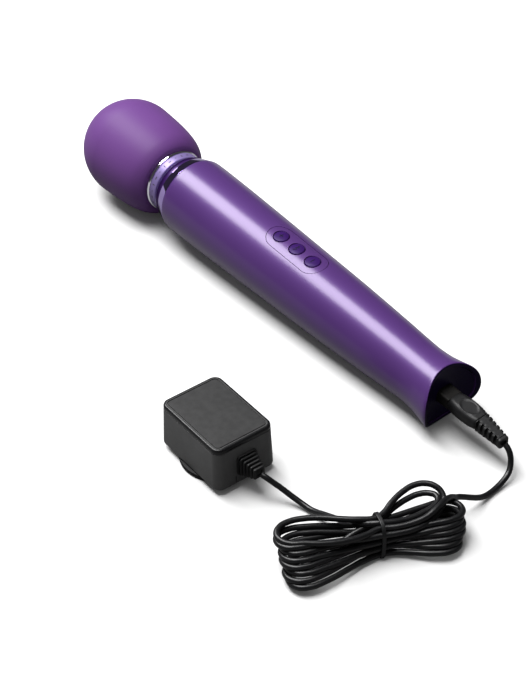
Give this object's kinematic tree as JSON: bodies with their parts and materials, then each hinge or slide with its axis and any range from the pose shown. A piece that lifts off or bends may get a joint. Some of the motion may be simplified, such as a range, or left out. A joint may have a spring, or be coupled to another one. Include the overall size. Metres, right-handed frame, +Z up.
{
  "type": "handheld wand massager",
  "caption": "Cordless wand massager with a silicone head on a flexing neck, a tapered handle with push buttons, and a tied charging lead with its mains adapter.",
  "frame": {"origin": "on the surface the wand lies on, below the middle of the wand", "axes": "+X along the wand towards the head, +Z up through the buttons, +Y to the side where the adapter lies"},
  "size_m": [0.4049, 0.1781, 0.0637],
  "materials": {
    "head_silicone": "matte satin silicone",
    "handle_shell": "satin metallic lacquer",
    "lilac_chrome": "polished, tinted lilac",
    "neck_rubber": "dark flexible sleeve",
    "control_panel": "satin",
    "buttons": "semi-gloss",
    "end_cap": "dark satin",
    "connector_plastic": "fine matte overmould",
    "connector_rubber": "flexible overmould",
    "cord_jacket": "smooth glossy jacket",
    "tie_plastic": "plastic-coated wire tie",
    "adapter_plastic": "fine spark texture",
    "adapter_gloss": "polished rim",
    "adapter_label": "blank matte label",
    "black_plastic": "moulded",
    "inner_plastic": "moulded, unpainted",
    "steel": "machined",
    "cell_can": "sleeved cell",
    "board": "solder mask",
    "switch_body": "moulded",
    "keypad_rubber": "moulded",
    "transformer": "wound core",
    "contact_brass": "stamped"
  },
  "bodies": {
    "handle": {"handle_shell": "handle_shell", "neck_bezel": "lilac_chrome", "flex_sleeve": "neck_rubber", "neck_mount": "inner_plastic", "motor_can": "steel", "motor_mount_ring": "inner_plastic", "control_panel": "control_panel", "keypad_membrane": "keypad_rubber", "main_board": "board", "switch_plus": "switch_body", "switch_pattern": "switch_body", "switch_minus": "switch_body", "battery_cell_front": "cell_can", "battery_cell_rear": "cell_can", "chassis": "inner_plastic", "end_cap": "end_cap", "charge_socket": "black_plastic", "dc_connector": "connector_plastic", "connector_relief": "connector_rubber", "cord_wand_lead": "cord_jacket", "cord_hank": "cord_jacket", "cord_tie": "tie_plastic", "cord_adapter_lead": "cord_jacket", "adapter_case": "adapter_plastic", "adapter_lid": "adapter_gloss", "adapter_label": "adapter_label", "adapter_plug_boss": "adapter_plastic", "adapter_relief": "connector_rubber", "adapter_board": "board", "adapter_transformer": "transformer", "adapter_contact_left": "contact_brass", "adapter_contact_right": "contact_brass"},
    "neck_swivel": {"neck_swivel_ring": "steel"},
    "head": {"head_cover": "head_silicone", "head_core_shell": "inner_plastic", "head_front_carrier": "inner_plastic", "head_rear_carrier": "inner_plastic", "head_front_bearing": "steel", "head_rear_bearing": "steel", "head_trim_ring": "lilac_chrome", "head_collar_band": "lilac_chrome", "neck_stub": "inner_plastic"},
    "eccentric": {"eccentric_shaft": "steel"},
    "motor_rotor": {"motor_shaft": "steel", "flex_coupling": "steel"},
    "button_plus": {"button_plus": "buttons"},
    "button_pattern": {"button_pattern": "buttons"},
    "button_minus": {"button_minus": "buttons"}
  },
  "joints": [
    {"name": "neck_pitch", "type": "hinge", "parent": "handle", "child": "neck_swivel", "pos_m": [0.08453, 0, 0.02987], "axis": [0, 1, 0], "range_deg": [-3, 3], "stiffness_Nm_per_rad": 12, "deforming": ["flex_sleeve", "flex_coupling"]},
    {"name": "neck_yaw", "type": "hinge", "parent": "neck_swivel", "child": "head", "pos_m": [0.08453, 0, 0.02987], "axis": [-0.0393, 0, 0.9992], "range_deg": [-3, 3], "stiffness_Nm_per_rad": 12},
    {"name": "eccentric_spin", "type": "hinge", "parent": "head", "child": "eccentric", "pos_m": [0.1249, 0, 0.03146], "axis": [0.9992, 0, 0.0393], "continuous": true},
    {"name": "motor_spin", "type": "hinge", "parent": "handle", "child": "motor_rotor", "pos_m": [0.06495, 0, 0.0291], "axis": [0.9992, 0, 0.0393], "continuous": true},
    {"name": "button_plus_press", "type": "slide", "parent": "handle", "child": "button_plus", "axis": [0.0392, -0.06, -0.9974], "range_m": [0, 0.0008], "stiffness_N_per_m": 600, "springref_m": -0.0015},
    {"name": "button_pattern_press", "type": "slide", "parent": "handle", "child": "button_pattern", "axis": [0.0392, -0.06, -0.9974], "range_m": [0, 0.0008], "stiffness_N_per_m": 600, "springref_m": -0.0015},
    {"name": "button_minus_press", "type": "slide", "parent": "handle", "child": "button_minus", "axis": [0.0392, -0.06, -0.9974], "range_m": [0, 0.0008], "stiffness_N_per_m": 600, "springref_m": -0.0015}
  ],
  "couplings": [
    {"joint": "motor_spin", "follows": "eccentric_spin", "ratio": 1}
  ]
}
